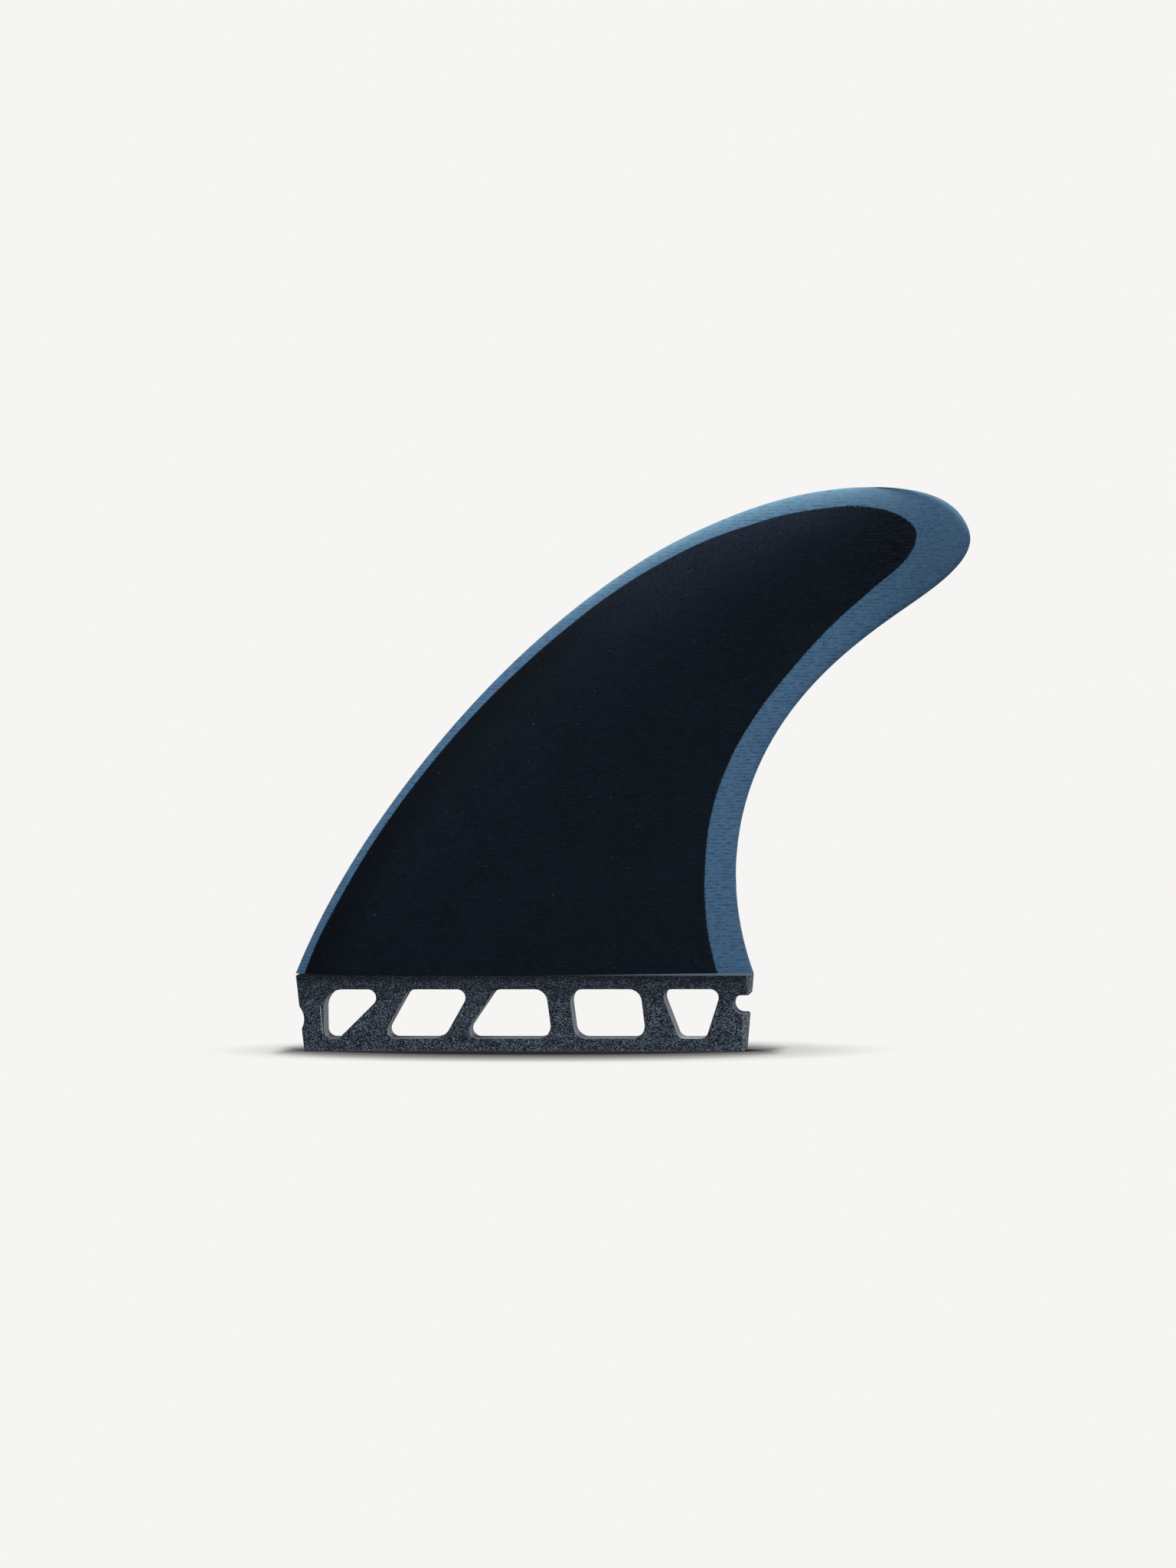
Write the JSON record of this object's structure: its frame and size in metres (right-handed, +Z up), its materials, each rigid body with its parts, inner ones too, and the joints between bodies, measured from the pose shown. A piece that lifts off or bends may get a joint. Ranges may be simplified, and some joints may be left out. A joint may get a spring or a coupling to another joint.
{
  "type": "surfboard fin",
  "caption": "Swept side fin for a surfboard, flat inside and foiled outside, with a windowed base tab that drops into a fin box.",
  "frame": {"origin": "middle of the tab's foot, half way along the tab and half way through its thickness", "axes": "+X towards the trailing end, +Y out of the flat inside face, +Z up the blade"},
  "size_m": [0.171, 0.0068, 0.1394],
  "materials": {
    "laminate": "satin"
  },
  "bodies": {
    "root": {"fin": "laminate"}
  },
  "joints": []
}
